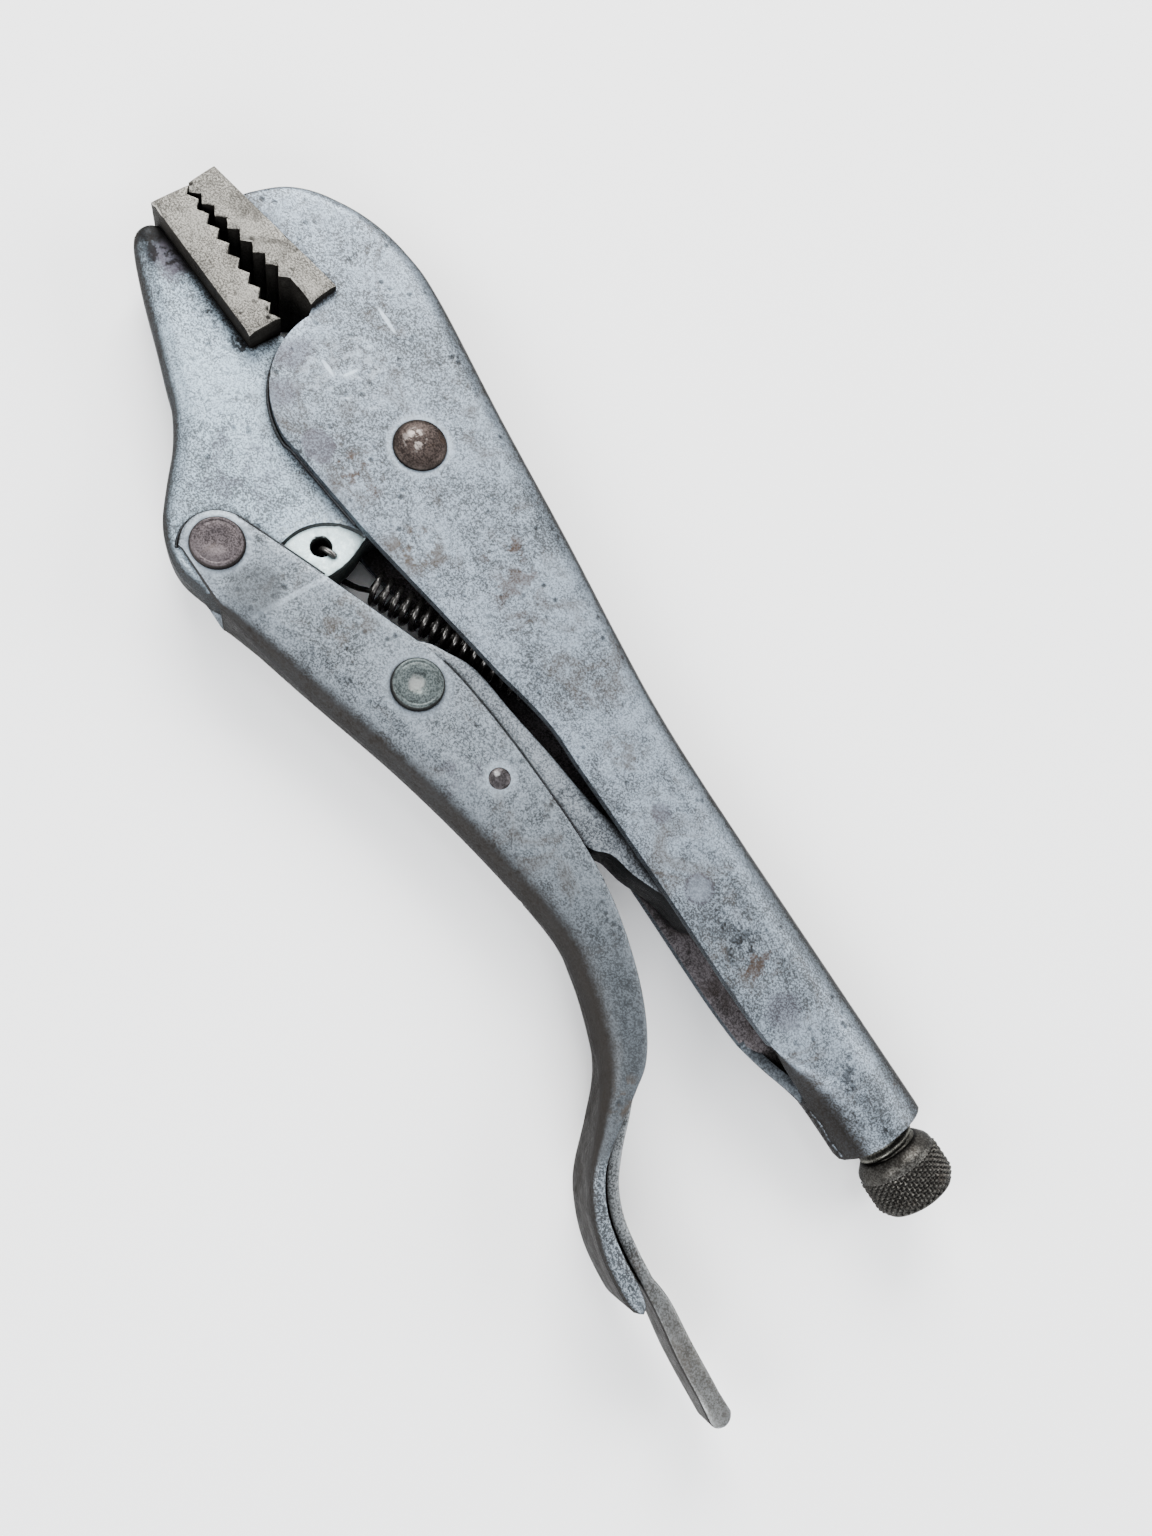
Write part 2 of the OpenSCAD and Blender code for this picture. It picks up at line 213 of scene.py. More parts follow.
def plate(name, sides, half, holes=(), dent=None, spacing=2.2, rows=3):
    """A piece of sheet or plate seen along Z. sides are (line, rounding, wall) in order round the outline:
    the rounding of the edge there in mm, a number or one per point, and whether a wall closes it."""
    lines, rounds, walls = [], [], []
    for line, r, wall in sides:
        pts = resample(line, 1.4)
        if np.ndim(r):
            _, rr = nearest(pts, line, r)
        else:
            rr = np.full(len(pts), float(r))
        lines.append(pts)
        rounds.append(rr)
        walls.append(wall)
    loop = np.vstack([pts[:-1] for pts in lines])
    loops = [loop] + [resample(np.vstack([h, h[:1]]), 0.7)[:-1] for h in (np.array(q, float) for q in holes)]
    hole_lines = [np.vstack([q, q[:1]]) for q in loops[1:]]

    def height(p):
        h = half(p[:, 0]) if callable(half) else np.full(len(p), float(half))
        fall = np.zeros(len(p))
        for pts, rr in zip(lines, rounds):
            d, r = nearest(p, pts, rr)
            fall = np.maximum(fall, np.where(r > 0.01, profile(d, r), 0))
        for q in hole_lines:
            d, _ = nearest(p, q, np.zeros(len(q)))
            fall = np.maximum(fall, profile(d, 0.3))
        h = h - fall
        return h - dent(p) if dent else h

    cloud = mesh_points(lines, rounds, loops, dent, spacing)
    coords, edges, base = [], [], 0
    for q in loops:
        n = len(q)
        coords.append(q)
        edges += [(base + i, base + (i + 1) % n) for i in range(n)]
        base += n
    coords = np.vstack(coords + [cloud])
    out = delaunay_2d_cdt([Vector(c) for c in coords], edges, [], 0, 1e-5)
    became = {src: i for i, group in enumerate(out[3]) for src in group}
    v2 = np.array([tuple(v) for v in out[0]])
    tris = [t for t in out[2] if len(t) == 3]
    mid = np.array([v2[list(t)].mean(0) for t in tris])
    ok = inside(mid, loop)
    for q in loops[1:]:
        ok &= ~inside(mid, q)
    tris = [t for t, k in zip(tris, ok) if k]
    h = np.maximum(height(v2), 0.02)
    n = len(v2)
    verts = [(x, y, MID + z) for (x, y), z in zip(v2, h)] + [(x, y, MID - z) for (x, y), z in zip(v2, h)]
    faces = [tuple(t) for t in tris] + [tuple(n + i for i in reversed(t)) for t in tris]
    made = {}

    def wall(a, b):
        """A wall from one face to the other between two points of the outline or of a hole."""
        i, j = became.get(a), became.get(b)
        if i is None or j is None or i == j:
            return
        column = []
        for k in (i, j):
            col = [k]
            for s in range(1, rows):
                t = s / rows
                key = (k, s)
                if key not in made:
                    made[key] = len(verts)
                    verts.append((v2[k][0], v2[k][1], MID + h[k] * (1 - 2 * t)))
                col.append(made[key])
            column.append(col + [n + k])
        for s in range(rows):
            faces.append((column[0][s], column[1][s], column[1][s + 1], column[0][s + 1]))

    at = 0
    for pts, w in zip(lines, walls):
        for k in range(len(pts) - 1):
            if w:
                wall(at + k, (at + k + 1) % len(loop))
        at += len(pts) - 1
    for q in loops[1:]:
        for k in range(len(q)):
            wall(at + k, at + (k + 1) % len(q))
        at += len(q)
    return add_object(name, np.array(verts) * MM, faces)


def lathe(name, centre, axis, rings, segments=64, bumps=None, hollow=False):
    """Rings of (distance along the axis, radius) in mm turned about the axis 'x' or 'z', closed by a cap at
    each end or, if hollow, by a wall from the last ring to the first."""
    verts, faces = [], []
    for a, r in rings:
        for s in range(segments):
            t = 2 * math.pi * s / segments
            rr = r + (bumps(a, t, r) if bumps else 0)
            u, w = rr * math.cos(t), rr * math.sin(t)
            verts.append((centre[0] + u, centre[1] + w, centre[2] + a) if axis == "z"
                         else (centre[0] + a, centre[1] + u, centre[2] + w))
    for k in range(len(rings) if hollow else len(rings) - 1):
        after = (k + 1) % len(rings)
        for s in range(segments):
            t = (s + 1) % segments
            faces.append((k * segments + s, k * segments + t, after * segments + t, after * segments + s))
    if not hollow:
        faces.append(tuple(range(segments)))
        faces.append(tuple((len(rings) - 1) * segments + s for s in range(segments)))
    return add_object(name, np.array(verts) * MM, faces)


def sweep(name, path, r, sides=10):
    """A round wire of radius r along the path, with capped ends."""
    p = np.array(path, float)
    t = tangents(p)
    n = np.cross(t[0], (0.3, 1, 0.1))
    n /= np.linalg.norm(n)
    verts, faces = [], []
    for i in range(len(p)):
        n = n - t[i] * n.dot(t[i])
        n /= np.linalg.norm(n)
        b = np.cross(t[i], n)
        for k in range(sides):
            a = 2 * math.pi * k / sides
            verts.append(p[i] + r * (math.cos(a) * n + math.sin(a) * b))
    for i in range(len(p) - 1):
        for k in range(sides):
            j = (k + 1) % sides
            faces.append((i * sides + k, i * sides + j, (i + 1) * sides + j, (i + 1) * sides + k))
    faces.append(tuple(range(sides)))
    faces.append(tuple((len(p) - 1) * sides + k for k in range(sides)))
    return add_object(name, np.array(verts) * MM, faces, 60)


def thicken(ob):
    """Gives an open skin its sheet thickness, inwards, with worn rims. Materials 1, 2 and 3 are its inside,
    its rim and the worn edges, with painted shade darkening the inside and the worn edges."""
    m = ob.modifiers.new("sheet", "SOLIDIFY")
    m.thickness = SHEET * MM
    m.offset = -1
    m.use_even_offset = True
    m.use_quality_normals = True
    m.material_offset = 1
    m.material_offset_rim = 2
    b = ob.modifiers.new("worn", "BEVEL")
    b.width = 0.55 * MM
    b.segments = 2
    b.limit_method = "ANGLE"
    b.angle_limit = math.radians(50)
    b.material = 3


# ---------------------------------------------------------------- materials
class Nodes:
    """Short calls for building a node tree."""

    def __init__(self, name):
        self.mat = bpy.data.materials.new(name)
        self.mat.use_nodes = True
        self.tree = self.mat.node_tree
        self.tree.nodes.clear()
        self.out = self.add("ShaderNodeOutputMaterial")
        self.bsdf = self.add("ShaderNodeBsdfPrincipled")
        self.link(self.bsdf.outputs[0], self.out.inputs["Surface"])
        self.place = self.add("ShaderNodeTexCoord").outputs["Object"]

    def add(self, kind):
        return self.tree.nodes.new(kind)

    def link(self, a, b):
        self.tree.links.new(a, b)

    def feed(self, socket, value):
        if isinstance(value, bpy.types.NodeSocket):
            self.link(value, socket)
        else:
            socket.default_value = value

    def facing(self):
        """Upright part of the smooth surface normal in the piece's own frame."""
        own = self.add("ShaderNodeTexCoord").outputs["Normal"]
        n = self.add("ShaderNodeSeparateXYZ")
        self.link(own, n.inputs[0])
        return n.outputs["Z"]

    def math(self, op, a, b=0.0):
        n = self.add("ShaderNodeMath")
        n.operation = op
        for s, v in zip(n.inputs, (a, b)):
            self.feed(s, v)
        return n.outputs[0]

    def noise(self, scale, detail=4.0, rough=0.6, warp=0.0):
        n = self.add("ShaderNodeTexNoise")
        self.link(self.place, n.inputs["Vector"])
        n.inputs["Scale"].default_value = scale
        n.inputs["Detail"].default_value = detail
        n.inputs["Roughness"].default_value = rough
        n.inputs["Distortion"].default_value = warp
        return n.outputs["Fac"]

    def ramp(self, fac, lo, hi, a=0.0, b=1.0):
        n = self.add("ShaderNodeMapRange")
        n.interpolation_type = "SMOOTHSTEP"
        for name, v in (("Value", fac), ("From Min", lo), ("From Max", hi), ("To Min", a), ("To Max", b)):
            self.feed(n.inputs[name], v)
        return n.outputs["Result"]

    def mix(self, fac, a, b):
        n = self.add("ShaderNodeMix")
        n.data_type = "RGBA"
        self.feed(n.inputs[0], fac)
        for s, v in ((n.inputs[6], a), (n.inputs[7], b)):
            self.feed(s, v if isinstance(v, bpy.types.NodeSocket) else (*v, 1.0))
        return n.outputs[2]

    def spot(self, centre, radius, soft=0.35, wobble=0.5, stretch=(1, 1, 1)):
        """A mask round a point in mm, with an uneven edge."""
        sub = self.add("ShaderNodeVectorMath")
        sub.operation = "SUBTRACT"
        self.link(self.place, sub.inputs[0])
        sub.inputs[1].default_value = tuple(c * MM for c in centre)
        mul = self.add("ShaderNodeVectorMath")
        mul.operation = "MULTIPLY"
        self.link(sub.outputs[0], mul.inputs[0])
        mul.inputs[1].default_value = stretch
        ln = self.add("ShaderNodeVectorMath")
        ln.operation = "LENGTH"
        self.link(mul.outputs[0], ln.inputs[0])
        d = ln.outputs["Value"]
        if wobble:
            w = self.math("SUBTRACT", self.noise(0.9 / (radius * MM), 3), 0.5)
            d = self.math("ADD", d, self.math("MULTIPLY", w, wobble * 2 * radius * MM))
        return self.ramp(d, radius * MM * (1 - soft), radius * MM * (1 + soft), 1.0, 0.0)

    def bump(self, height, distance, strength=1.0, under=None):
        n = self.add("ShaderNodeBump")
        n.inputs["Distance"].default_value = distance
        n.inputs["Strength"].default_value = strength
        self.link(height, n.inputs["Height"])
        if under is not None:
            self.link(under, n.inputs["Normal"])
        return n.outputs[0]


def steel(name, light, dark, metallic=0.7, rough=0.45, grain=0.5, pits=0.0, dirt=None, dirt_amount=0.3,
          marks=(), turned=0.93, edge=(0.017, 0.0145, 0.0125), crevice=0.9, worn=0.0, coat=0.0, bump=1.0,
          reach=3.2, open_from=0.5):
    """Worn steel: mottled tone, salt-and-pepper grain, dark pits, dirt patches, marks at chosen places,
    painted shade where the surface turns away from the flat side, soot and painted shade in the crevices
    and, if worn, a rubbed bright edge. Marks are (centre in mm, radius in mm, colour, amount, options)."""
    n = Nodes(name)
    fine = n.noise(2600, 2, 0.8)
    mid = n.noise(330, 4, 0.65)
    broad = n.noise(48, 5, 0.62, 0.5)
    tone = n.math("MULTIPLY", n.ramp(fine, 0.42, 0.60), 0.36 + 0.46 * grain)
    tone = n.math("ADD", tone, n.math("MULTIPLY", n.ramp(mid, 0.36, 0.64), 0.22))
    tone = n.math("ADD", tone, n.math("MULTIPLY", n.ramp(broad, 0.34, 0.60), 0.32))
    col = n.mix(n.ramp(tone, 0.10, 0.98 + 0.1 * grain), dark, light)
    height = n.math("ADD", n.math("MULTIPLY", mid, 0.5), n.math("MULTIPLY", fine, 0.5))
    rough_out = n.ramp(mid, 0.3, 0.7, rough - 0.07, rough + 0.09)
    up = n.math("ABSOLUTE", n.facing())
    soot = n.ramp(n.noise(950, 3, 0.8), 0.61, 0.68, 0.0, 0.75 * grain)
    col = n.mix(soot, col, tuple(c * 0.3 for c in dark))
    if pits:
        cell = n.add("ShaderNodeTexVoronoi")
        n.link(n.place, cell.inputs["Vector"])
        cell.inputs["Scale"].default_value = 420
        gate = n.ramp(n.noise(120, 3, 0.6), 0.5, 0.62)
        pit = n.math("MULTIPLY", n.ramp(cell.outputs["Distance"], 0.12, 0.34, 1.0, 0.0), gate)
        pit = n.math("MULTIPLY", pit, pits)
        col = n.mix(pit, col, tuple(c * 0.25 for c in dark))
        height = n.math("SUBTRACT", height, pit)
    if dirt:
        patch = n.ramp(n.noise(85, 6, 0.72, 1.0), 0.50, 0.68, 0.0, dirt_amount)
        col = n.mix(patch, col, dirt)
        rough_out = n.math("ADD", rough_out, n.math("MULTIPLY", patch, 0.25))
    for centre, radius, colour, amount, *rest in marks:
        opts = rest[0] if rest else {}
        shape = {k: v for k, v in opts.items() if k != "speckle"}
        m = n.math("MULTIPLY", n.spot(centre, radius, **shape), amount)
        if opts.get("speckle"):
            m = n.math("MULTIPLY", m, n.ramp(n.noise(opts["speckle"], 3, 0.7), 0.48, 0.6))
        col = n.mix(m, col, colour)
    # painted shade: darker towards the edge colour where the smooth normal turns away from the piece's flat
    # side
    col = n.mix(n.ramp(up, 0.58, 0.998, turned, 0.0), col, edge)
    if worn:
        rub = n.math("MULTIPLY", n.ramp(up, 0.35, 0.6), n.ramp(up, 0.8, 0.97, 1.0, 0.0))
        rub = n.math("MULTIPLY", rub, n.ramp(n.noise(240, 3, 0.7), 0.42, 0.56, 0.0, worn))
        col = n.mix(rub, col, tuple(min(1, c * 1.5) for c in light))
    # soot and painted shade: darkened in crevices and next to other parts, by ambient occlusion
    near_by = n.add("ShaderNodeAmbientOcclusion")
    near_by.samples = 8
    near_by.inputs["Distance"].default_value = reach * MM
    col = n.mix(n.ramp(near_by.outputs["AO"], open_from, open_from + 0.4, crevice, 0.0), col, SOOT_AND_SHADE)
    n.link(col, n.bsdf.inputs["Base Color"])
    n.link(rough_out, n.bsdf.inputs["Roughness"])
    n.bsdf.inputs["Metallic"].default_value = metallic
    n.bsdf.inputs["Specular IOR Level"].default_value = 0.25
    n.bsdf.inputs["Specular Tint"].default_value = (0.25, 0.25, 0.25, 1)
    if coat:
        n.bsdf.inputs["Coat Weight"].default_value = coat
        n.bsdf.inputs["Coat Roughness"].default_value = 0.2
    lumps = n.bump(broad, 0.0006, 0.5 * bump)
    n.link(n.bump(height, 0.00012, 0.8 * bump, lumps), n.bsdf.inputs["Normal"])
    return n.mat


SILVER, SILVER_DARK = (0.245, 0.295, 0.350), (0.056, 0.061, 0.066)
# the darkest colour here serves both as soot and as painted shade in crevices and gaps
PURPLE, RUST, SOOT_AND_SHADE = (0.062, 0.056, 0.07), (0.052, 0.033, 0.022), (0.010, 0.009, 0.0085)
BROWN, CLEAN = (0.062, 0.049, 0.038), (0.40, 0.47, 0.54)
near, jaw_face = MID + CHEEK_HALF, MID + PLATE_HALF    # the faces that the photo shows

shell_mat = steel("worn_silver_shell", SILVER, SILVER_DARK, pits=0.8, dirt=BROWN, dirt_amount=0.55,
    marks=[((*P0, near), 6.6, CLEAN, 0.4, {"wobble": 0.15, "soft": 0.12}),
           ((-28.5, -11.5, near), 3.6, PURPLE, 0.5, {"stretch": (1.2, 0.8, 1)}),
           ((-22, -17.5, near), 3.0, PURPLE, 0.5),
           ((-9.1, -17.6, near), 3.4, PURPLE, 0.55, {"soft": 0.12, "wobble": 0.6}),
           ((-20, -5, near), 8.0, CLEAN, 0.3, {"wobble": 1.0, "speckle": 500}),
           ((-22.5, -7, near), 0.9, CLEAN, 0.8, {"stretch": (0.45, 2.2, 1), "wobble": 0.3}),
           ((-19.5, -3.5, near), 0.8, CLEAN, 0.8, {"stretch": (2.2, 0.5, 1), "wobble": 0.3}),
           ((-26, 9, near), 1.0, CLEAN, 0.7, {"stretch": (0.3, 2.4, 1), "wobble": 0.3}),
           ((-0.6, -14.2, near), 5.0, RUST, 0.7, {"speckle": 420}),
           ((-22.2, 10.7, near), 2.2, SOOT_AND_SHADE, 0.8, {"speckle": 450}),
           ((-42.2, 10.2, near), 1.8, SOOT_AND_SHADE, 0.7, {"speckle": 450}),
           ((18, -12.2, near), 5.0, BROWN, 0.8, {"speckle": 240}),
           ((27.3, 1.6, near), 4.4, RUST, 0.75, {"speckle": 260}),
           ((35, 0.4, near), 5.5, RUST, 0.6, {"speckle": 200}),
           ((73, 0.5, near), 4.0, BROWN, 0.55, {"speckle": 300}),
           ((87, -1.0, near + 0.8), 2.0, PURPLE, 0.5, {"wobble": 0.15, "soft": 0.2}),
           ((103.1, -3.3, near + 1), 3.2, PURPLE, 0.45, {"wobble": 0.1, "soft": 0.12}),
           ((103.1, -3.3, near + 1), 2.5, SILVER, 0.25, {"wobble": 0.1, "soft": 0.12}),
           ((111.1, -2.9, near + 1), 3.2, SOOT_AND_SHADE, 0.8, {"speckle": 420}),
           ((117.3, -2.4, near + 1), 3.6, SOOT_AND_SHADE, 0.8, {"speckle": 420}),
           ((121.4, -1.2, near + 1), 4.0, RUST, 0.7, {"speckle": 300}),
           ((131.5, -2.9, near + 1), 3.6, PURPLE, 0.45),
           ((148.6, 0.5, near + 1), 3.0, SOOT_AND_SHADE, 0.7, {"speckle": 420}),
           ((155.8, -4.0, near + 1), 3.4, SOOT_AND_SHADE, 0.7, {"speckle": 380}),
           ((163.5, 3, MID + 9), 3.4, SOOT_AND_SHADE, 0.7, {"speckle": 300})])
handle_mat = steel("worn_silver_handle", (0.215, 0.25, 0.285), (0.046, 0.05, 0.053), pits=0.75,
    dirt=BROWN, dirt_amount=0.5,
    marks=[((*P1, near), 6.4, CLEAN, 0.45, {"wobble": 0.1, "soft": 0.12}),
           ((*P2, near), 6.6, CLEAN, 0.35, {"wobble": 0.2, "soft": 0.2}),
           ((*P4, near), 3.4, CLEAN, 0.35, {"wobble": 0.4, "soft": 0.25}),
           ((14.4, -38, near), 0.95, CLEAN, 0.32, {"stretch": (1.8, 0.08, 1), "wobble": 0.4}),
           ((24, -33, near), 6.0, BROWN, 0.5, {"speckle": 260}),
           ((10, -43, near), 5.0, SILVER_DARK, 0.6),
           ((60, -29, near), 4.5, PURPLE, 0.45, {"speckle": 300}),
           # broad darkening over the rear of the lower handle: painted shade where the handle turns away,
           # with grime
           ((132, -44, near), 50.0, (0.038, 0.042, 0.046), 0.72, {"wobble": 0.2, "soft": 0.7}),
           ((136.5, -49.6, near), 3.2, CLEAN, 0.5, {"soft": 0.8, "speckle": 2600}),
           ((142, -52.8, near), 3.4, CLEAN, 0.5, {"soft": 0.8, "speckle": 2600}),
           ((148, -54.6, near), 3.4, CLEAN, 0.5, {"soft": 0.8, "speckle": 2600}),
           ((155, -55.4, near), 3.6, CLEAN, 0.5, {"soft": 0.8, "speckle": 2600}),
           ((126, -38, near), 4.0, BROWN, 0.55, {"speckle": 260})])
plate_mat = steel("worn_silver_plate", (0.34, 0.43, 0.51), (0.078, 0.09, 0.10), pits=0.6, dirt=BROWN,
    dirt_amount=0.3, grain=0.6,
    # dark marks along the foot of the lower block: painted shadow of the gap between block and plate, with
    # speckled soot
    marks=[((-63.8, -20.4, jaw_face), 4.0, SOOT_AND_SHADE, 0.97, {"wobble": 0.7}),
           ((-58, -20.2, jaw_face), 4.4, PURPLE, 0.9, {"wobble": 0.8}),
           ((-59, -20.5, jaw_face), 5.0, SOOT_AND_SHADE, 0.9, {"speckle": 350}),
           ((-44, -18.8, jaw_face), 3.4, SOOT_AND_SHADE, 0.9, {"speckle": 350}),
           ((-36, -17.6, jaw_face), 3.4, SOOT_AND_SHADE, 0.9, {"speckle": 350}),
           ((-14, -33, jaw_face), 9.0, PURPLE, 0.4, {"speckle": 200}),
           ((14, -29.2, 14.8), 11.0, (0.80, 1.0, 1.0), 0.62, {"wobble": 0.05, "soft": 0.03}),
           ((14, -29.2, 14.8), 10.8, (0.85, 1.0, 1.0), 0.75, {"speckle": 900})])
block_mat = steel("pitted_block_steel", (0.245, 0.236, 0.213), (0.05, 0.047, 0.042), metallic=0.6,
    rough=0.52, pits=1.0, dirt=(0.034, 0.031, 0.027), dirt_amount=0.6, grain=0.65, turned=0.93,
    edge=(0.008, 0.007, 0.006), worn=0.8)
link_mat = steel("worn_silver_link", (0.24, 0.27, 0.30), (0.055, 0.06, 0.066), pits=0.6,
    edge=(0.006, 0.0055, 0.005),
    marks=[((74, -14.5, jaw_face), 2.0, SOOT_AND_SHADE, 0.6, {"speckle": 400}),
           # dark where the link's tail runs in under the upper handle's cheek: painted shadow
           ((100, -8, 13), 7.0, SOOT_AND_SHADE, 0.6, {"speckle": 300})])
lever_mat = steel("worn_lever_steel", (0.20, 0.215, 0.225), (0.045, 0.046, 0.046), rough=0.4, pits=0.6,
    dirt=RUST, dirt_amount=0.4, worn=0.9, grain=0.7,
    marks=[((174, -55, MID + 5.3), 17.0, (0.085, 0.08, 0.072), 0.6, {"wobble": 0.5, "soft": 0.5})])
# inside of the sheet: grime, with strong painted shade from a long occlusion reach
inside_mat = steel("grimy_shaded_sheet_inside", (0.20, 0.18, 0.19), (0.05, 0.045, 0.045), rough=0.55, pits=0.5,
    dirt=(0.03, 0.022, 0.017), dirt_amount=0.6, turned=0.0, crevice=0.95, reach=9.0, open_from=0.34)
# dark edge colour: painted shade on the sheets' worn bevels, and painted shadow with grime in the edge beads
line_mat = steel("dark_shade_and_grime_edge", (0.055, 0.06, 0.066), (0.012, 0.012, 0.013), pits=0.4, turned=0.3)
rim_mat = steel("worn_sheet_edge", (0.105, 0.122, 0.14), (0.035, 0.038, 0.042), pits=0.4, turned=0.0,
    crevice=0.8, reach=1.2)
main_rivet_mat = steel("rusty_rivet_steel", (0.052, 0.040, 0.036), (0.013, 0.010, 0.009), rough=0.42,
    pits=0.5, dirt=RUST, dirt_amount=0.7, turned=0.85,
    marks=[((-1.0, -0.8, 20), 2.2, (0.26, 0.23, 0.215), 0.9, {"wobble": 0.9, "speckle": 600})])
handle_rivet_mat = steel("worn_rivet_steel", (0.098, 0.084, 0.088), (0.032, 0.027, 0.028), rough=0.45,
    pits=0.3, dirt=BROWN, dirt_amount=0.5, turned=0.8)
link_rivet_mat = steel("green_rivet_steel", (0.095, 0.114, 0.114), (0.032, 0.038, 0.038), rough=0.4, pits=0.4,
    # the pale spot at the rivet's centre is a painted highlight
    turned=0.8, marks=[((P2[0], P2[1] - 0.4, 20), 1.4, (0.30, 0.31, 0.30), 0.55, {"wobble": 0.9})])
pin_mat = steel("dark_pin_steel", (0.06, 0.055, 0.058), (0.02, 0.018, 0.018), rough=0.35, turned=0.9,
    # the light dot on one side of the pin's dome is a painted highlight
    marks=[((P4[0] - 1.1, P4[1], 19.0), 0.6, (0.4, 0.4, 0.4), 0.6)])
spring_mat = steel("oiled_black_wire", (0.10, 0.094, 0.088), (0.018, 0.017, 0.016), metallic=0.85, rough=0.22,
    coat=0.6, bump=0.3, turned=0.0, crevice=0.5)
screw_mat = steel("worn_thread_steel", (0.25, 0.25, 0.22), (0.07, 0.067, 0.058), rough=0.3, dirt=SOOT_AND_SHADE,
    dirt_amount=0.5, turned=0.3)
knob_mat = steel("dark_knurled_steel", (0.088, 0.086, 0.079), (0.017, 0.016, 0.0145), rough=0.38, dirt=RUST,
    dirt_amount=0.5, turned=0.4, crevice=0.95)


def finish(ob, mat, body, nodes):
    """Gives a piece its material and slot, and the body it rides and the nodes it replaces, if any."""
    ob.data.materials.clear()
    ob.data.materials.append(mat)
    if body:
        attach(ob, body)
    if nodes:
        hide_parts(*nodes)


def finish_sheet(ob, mat, body, nodes):
    """Thickens an open skin and finishes it, with the materials of its inside, its rim and its worn edges,
    with painted shade on the inside and the worn edges.
    """
    thicken(ob)
    finish(ob, mat, body, nodes)
    for extra in (inside_mat, rim_mat, line_mat):
        ob.data.materials.append(extra)


def bore(centre, r):
    return arc(centre, r, 0, 345, 23)


# ---------------------------------------------------------------- upper handle
back = curve([(-63.3, -1.6), (-61.3, 7.6), (-56.3, 14.6), (-48, 20.0), (-38, 22.9), (-27, 23.3), (1, 20.1),
              (30, 17.3), (52, 14.8), (70, 13.1), (88, 12.5), (110, 12.5), (135, 12.5), (TUBE_END, 12.5)])
cheek = curve([(-12, -21.8), (10, -18.9), (30, -15.3), (46, -12.4), (60, -9.6), (72, -9.4), (100, -9.2),
               (126, -9.2), (140, -8.2), (148, -6.9), (154, -6.5), (TUBE_END, -6.5)])
front = [(-63.3, -1.6), (-62.6, -4), (-36, -1.5)] + arc((-13.5, -1.7), 20.4, 187, 270) + [(-12, -21.8)]


def shell_half(x):
    """The handle widens from its cheeks to the screw's tube."""
    return CHEEK_HALF + (TUBE_HALF - CHEEK_HALF) * smooth(x, 60, 104)


def by_x(line, xs, rs):
    """Roundings along a line, given at some values of x."""
    return np.interp([p[0] for p in line], xs, rs)


back_round = by_x(back, [-64, -55, -30, 20, 70, 104, 150], [1.5, 4, 6, 6.5, 7.3, 9.0, 9.1])
WELD_X, TUBE_ROUND = 150.3, 8.2     # where the weld closes the handle's mouth, and the tube's rounding there
open_cheek = [p for p in cheek if p[0] <= WELD_X]
closed_cheek = [open_cheek[-1]] + [p for p in cheek if p[0] > WELD_X]
shell = plate("upper_handle_skin",
              [(back, back_round, True),
               ([back[-1], closed_cheek[-1]], 0, False),
               (closed_cheek[::-1], TUBE_ROUND, True),
               (open_cheek[::-1], by_x(open_cheek[::-1], [136, WELD_X], [0, TUBE_ROUND]), False),
               (front[::-1], 0, False)], shell_half, spacing=2.4)
finish_sheet(shell, shell_mat, "upper_handle", ["upper_handle_shell"])

# the wall of the screw tube's mouth, and the weld that closes the tube underneath
mouth = lathe("tube_mouth", (156, SCREW_Y, MID), "x",
              [(0, 6.4), (0, 8.2), (6.6, 8.2), (7.3, 8.9), (7.45, 8.4), (7.4, 6.8), (6.9, 6.4)], hollow=True)
finish(mouth, shell_mat, "upper_handle", ())

SEAM_X0, SEAM_X1, SEAM_STEPS = 147.5, 162.6, 59
seam_path = [(x, -6.0 + 0.9 * float(smooth(x, 153, SEAM_X0) if x < 153 else 0), MID + 0.5 * math.sin(x * 0.9))
             for x in np.linspace(SEAM_X0, SEAM_X1, SEAM_STEPS + 1)]
seam = sweep("tube_weld", seam_path, 1.0, 12)
for v in seam.data.vertices:    # the bead swells and narrows along its length
    x = v.co.x / MM
    k = 1 + 0.14 * math.sin(x * 2.6) + 0.08 * math.sin(x * 5.7 + 1)
    nearby = int(round((x - SEAM_X0) / (SEAM_X1 - SEAM_X0) * SEAM_STEPS))
    c = Vector(seam_path[min(SEAM_STEPS, max(0, nearby))]) * MM
    v.co = c + (v.co - c) * k
finish(seam, shell_mat, "upper_handle", ())

lug_outline = arc(LUG_HOLE, 3, 180, 360) + [(84.5, 11.0), (75, 11.2), (76.5, 6.9)]
lug = plate("spring_lug", [(lug_outline, 0.3, True)], 1.25, holes=[bore(LUG_HOLE, LUG_HOLE_R)], spacing=1.5)
finish(lug, shell_mat, "upper_handle", ())

# ---------------------------------------------------------------- jaw blocks
upper_block = plate("upper_block", [
    (teeth((-41.6, -3.6), (-68, -10.2), 8, 1.5) + [(-68, -10.2)], 0.22, True),
    ([(-68, -10.2), (-69.2, -3.8), (-36.3, 3.6), (-35, -3), (-41.6, -3.6)], 0.45, True)],
    BLOCK_HALF, spacing=1.6)
finish(upper_block, block_mat, "upper_handle", ["upper_jaw_block"])
lower_block = plate("lower_block", [
    (teeth((-67.5, -10.45), (-35, -9.9), 9, -1.5) + [(-35, -9.9)], 0.22, True),
    ([(-35, -9.9), (-34.3, -17.2), (-67.1, -18.9), (-67.5, -10.45)], 0.45, True)],
    BLOCK_HALF, spacing=1.6)
finish(lower_block, block_mat, "lower_jaw", ["lower_jaw_block"])

